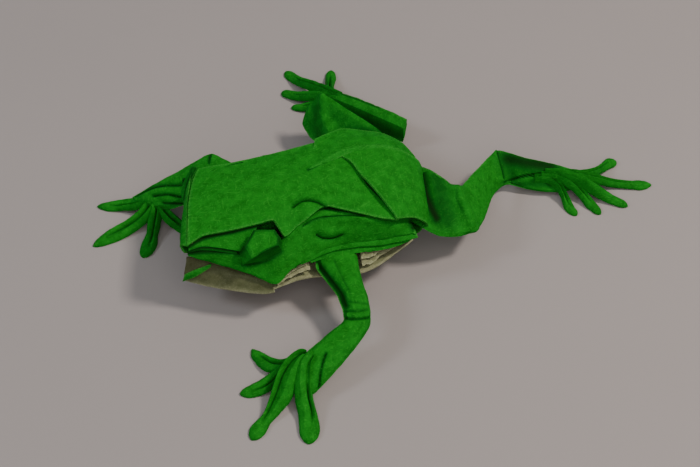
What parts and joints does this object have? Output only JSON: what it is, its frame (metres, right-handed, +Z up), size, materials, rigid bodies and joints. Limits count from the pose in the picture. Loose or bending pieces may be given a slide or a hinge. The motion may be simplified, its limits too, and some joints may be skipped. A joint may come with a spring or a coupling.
{
  "type": "origami frog",
  "caption": "Folded-paper tree frog standing on splayed, padded hands and feet, with a ridged back, raised eye folds, hinged lower jaw and limbs that flex at their creases.",
  "frame": {"origin": "middle of the base of the whole frog's box, on the surface that the fingers and toes stand on", "axes": "+X from the snout to the rump, +Y to the frog's right, +Z up"},
  "size_m": [0.1592, 0.1358, 0.0261],
  "materials": {
    "green_paper": "matt handmade paper dyed green, mottled fibres",
    "cream_paper": "matt undyed cream reverse of the sheet"
  },
  "bodies": {
    "torso": {"back_panel": "green_paper", "rump_panel": "green_paper", "snout_hem": "green_paper", "belly_panel": "cream_paper", "inner_layers": "cream_paper", "left_cheek_panel": "green_paper", "left_eye_fold": "green_paper", "left_flank_upper_pleat": "green_paper", "left_flank_under_pleat": "green_paper", "right_cheek_panel": "green_paper", "right_eye_fold": "green_paper", "right_flank_upper_pleat": "green_paper", "right_flank_under_pleat": "green_paper"},
    "jaw": {"lower_jaw": "cream_paper"},
    "left_upper_arm": {"left_upper_arm": "green_paper"},
    "left_forearm": {"left_forearm": "green_paper"},
    "left_finger_1": {"left_finger_1": "green_paper"},
    "left_finger_2": {"left_finger_2": "green_paper"},
    "left_finger_3": {"left_finger_3": "green_paper"},
    "left_finger_4": {"left_finger_4": "green_paper"},
    "left_thigh": {"left_thigh": "green_paper"},
    "left_shank": {"left_shank": "green_paper"},
    "left_tarsus": {"left_tarsus": "green_paper"},
    "left_toe_1": {"left_toe_1": "green_paper"},
    "left_toe_2": {"left_toe_2": "green_paper"},
    "left_toe_3": {"left_toe_3": "green_paper"},
    "left_toe_4": {"left_toe_4": "green_paper"},
    "left_toe_5": {"left_toe_5": "green_paper"},
    "right_upper_arm": {"right_upper_arm": "green_paper"},
    "right_forearm": {"right_forearm": "green_paper"},
    "right_finger_1": {"right_finger_1": "green_paper"},
    "right_finger_2": {"right_finger_2": "green_paper"},
    "right_finger_3": {"right_finger_3": "green_paper"},
    "right_finger_4": {"right_finger_4": "green_paper"},
    "right_thigh": {"right_thigh": "green_paper"},
    "right_shank": {"right_shank": "green_paper"},
    "right_tarsus": {"right_tarsus": "green_paper"},
    "right_toe_1": {"right_toe_1": "green_paper"},
    "right_toe_2": {"right_toe_2": "green_paper"},
    "right_toe_3": {"right_toe_3": "green_paper"},
    "right_toe_4": {"right_toe_4": "green_paper"},
    "right_toe_5": {"right_toe_5": "green_paper"}
  },
  "joints": [
    {"name": "jaw_hinge", "type": "hinge", "parent": "torso", "child": "jaw", "pos_m": [-0.03442, 0.00096, 0.00858], "axis": [0, -1, 0], "range_deg": [-2, 12]},
    {"name": "left_shoulder", "type": "hinge", "parent": "torso", "child": "left_upper_arm", "pos_m": [-0.02042, -0.01334, 0.0122], "axis": [0, 0, 1], "range_deg": [-10, 8]},
    {"name": "left_elbow", "type": "hinge", "parent": "left_upper_arm", "child": "left_forearm", "pos_m": [-0.01778, -0.03485, 0.0084], "axis": [0, 0, 1], "range_deg": [-14, 14]},
    {"name": "left_finger_1_splay", "type": "hinge", "parent": "left_forearm", "child": "left_finger_1", "pos_m": [-0.03262, -0.04093, 0], "axis": [0, 0, 1], "range_deg": [-8, 8]},
    {"name": "left_finger_2_splay", "type": "hinge", "parent": "left_forearm", "child": "left_finger_2", "pos_m": [-0.0326, -0.04455, 0], "axis": [0, 0, 1], "range_deg": [-8, 8]},
    {"name": "left_finger_3_splay", "type": "hinge", "parent": "left_forearm", "child": "left_finger_3", "pos_m": [-0.0311, -0.04737, 0], "axis": [0, 0, 1], "range_deg": [-8, 8]},
    {"name": "left_finger_4_splay", "type": "hinge", "parent": "left_forearm", "child": "left_finger_4", "pos_m": [-0.0296, -0.0502, 0], "axis": [0, 0, 1], "range_deg": [-8, 8]},
    {"name": "left_hip", "type": "hinge", "parent": "torso", "child": "left_thigh", "pos_m": [-0.00512, -0.00024, 0.0152], "axis": [0, 0, 1], "range_deg": [-8, 8]},
    {"name": "left_knee", "type": "hinge", "parent": "left_thigh", "child": "left_shank", "pos_m": [0.02058, -0.0034, 0.0122], "axis": [0, 0, 1], "range_deg": [-12, 14]},
    {"name": "left_heel", "type": "hinge", "parent": "left_shank", "child": "left_tarsus", "pos_m": [0.03761, 0.00698, 0.0064], "axis": [0, 0, 1], "range_deg": [-14, 14]},
    {"name": "left_toe_1_splay", "type": "hinge", "parent": "left_tarsus", "child": "left_toe_1", "pos_m": [0.05074, 0.00395, 0], "axis": [0, 0, 1], "range_deg": [-6, 6]},
    {"name": "left_toe_2_splay", "type": "hinge", "parent": "left_tarsus", "child": "left_toe_2", "pos_m": [0.05463, 0.00305, 0], "axis": [0, 0, 1], "range_deg": [-6, 6]},
    {"name": "left_toe_3_splay", "type": "hinge", "parent": "left_tarsus", "child": "left_toe_3", "pos_m": [0.05862, 0.00213, 0], "axis": [0, 0, 1], "range_deg": [-6, 6]},
    {"name": "left_toe_4_splay", "type": "hinge", "parent": "left_tarsus", "child": "left_toe_4", "pos_m": [0.06264, 0.00223, 0], "axis": [0, 0, 1], "range_deg": [-6, 6]},
    {"name": "left_toe_5_splay", "type": "hinge", "parent": "left_tarsus", "child": "left_toe_5", "pos_m": [0.06331, 0.00515, 0], "axis": [0, 0, 1], "range_deg": [-6, 6]},
    {"name": "right_shoulder", "type": "hinge", "parent": "torso", "child": "right_upper_arm", "pos_m": [-0.02042, 0.01526, 0.0122], "axis": [0, 0, -1], "range_deg": [-5, 10]},
    {"name": "right_elbow", "type": "hinge", "parent": "right_upper_arm", "child": "right_forearm", "pos_m": [-0.04122, 0.02242, 0.0118], "axis": [0, 0, -1], "range_deg": [-8, 14]},
    {"name": "right_finger_1_splay", "type": "hinge", "parent": "right_forearm", "child": "right_finger_1", "pos_m": [-0.05524, 0.0159, 0], "axis": [0, 0, -1], "range_deg": [-8, 8]},
    {"name": "right_finger_2_splay", "type": "hinge", "parent": "right_forearm", "child": "right_finger_2", "pos_m": [-0.05782, 0.01839, 0], "axis": [0, 0, -1], "range_deg": [-8, 8]},
    {"name": "right_finger_3_splay", "type": "hinge", "parent": "right_forearm", "child": "right_finger_3", "pos_m": [-0.05886, 0.02142, 0], "axis": [0, 0, -1], "range_deg": [-8, 8]},
    {"name": "right_finger_4_splay", "type": "hinge", "parent": "right_forearm", "child": "right_finger_4", "pos_m": [-0.0599, 0.02445, 0], "axis": [0, 0, -1], "range_deg": [-8, 8]},
    {"name": "right_hip", "type": "hinge", "parent": "torso", "child": "right_thigh", "pos_m": [0.00058, 0.01236, 0.0164], "axis": [0, 0, -1], "range_deg": [-8, 8]},
    {"name": "right_knee", "type": "hinge", "parent": "right_thigh", "child": "right_shank", "pos_m": [-0.00569, 0.03752, 0.008], "axis": [0, 0, -1], "range_deg": [-12, 14]},
    {"name": "right_heel", "type": "hinge", "parent": "right_shank", "child": "right_tarsus", "pos_m": [0.01305, 0.02982, 0.0064], "axis": [0, 0, -1], "range_deg": [-14, 14]},
    {"name": "right_toe_1_splay", "type": "hinge", "parent": "right_tarsus", "child": "right_toe_1", "pos_m": [0.00627, 0.04204, 0], "axis": [0, 0, -1], "range_deg": [-6, 6]},
    {"name": "right_toe_2_splay", "type": "hinge", "parent": "right_tarsus", "child": "right_toe_2", "pos_m": [0.00429, 0.04562, 0], "axis": [0, 0, -1], "range_deg": [-6, 6]},
    {"name": "right_toe_3_splay", "type": "hinge", "parent": "right_tarsus", "child": "right_toe_3", "pos_m": [0.0023, 0.0492, 0], "axis": [0, 0, -1], "range_deg": [-6, 6]},
    {"name": "right_toe_4_splay", "type": "hinge", "parent": "right_tarsus", "child": "right_toe_4", "pos_m": [0.00158, 0.05257, 0], "axis": [0, 0, -1], "range_deg": [-6, 6]},
    {"name": "right_toe_5_splay", "type": "hinge", "parent": "right_tarsus", "child": "right_toe_5", "pos_m": [0.00421, 0.05402, 0], "axis": [0, 0, -1], "range_deg": [-6, 6]}
  ]
}
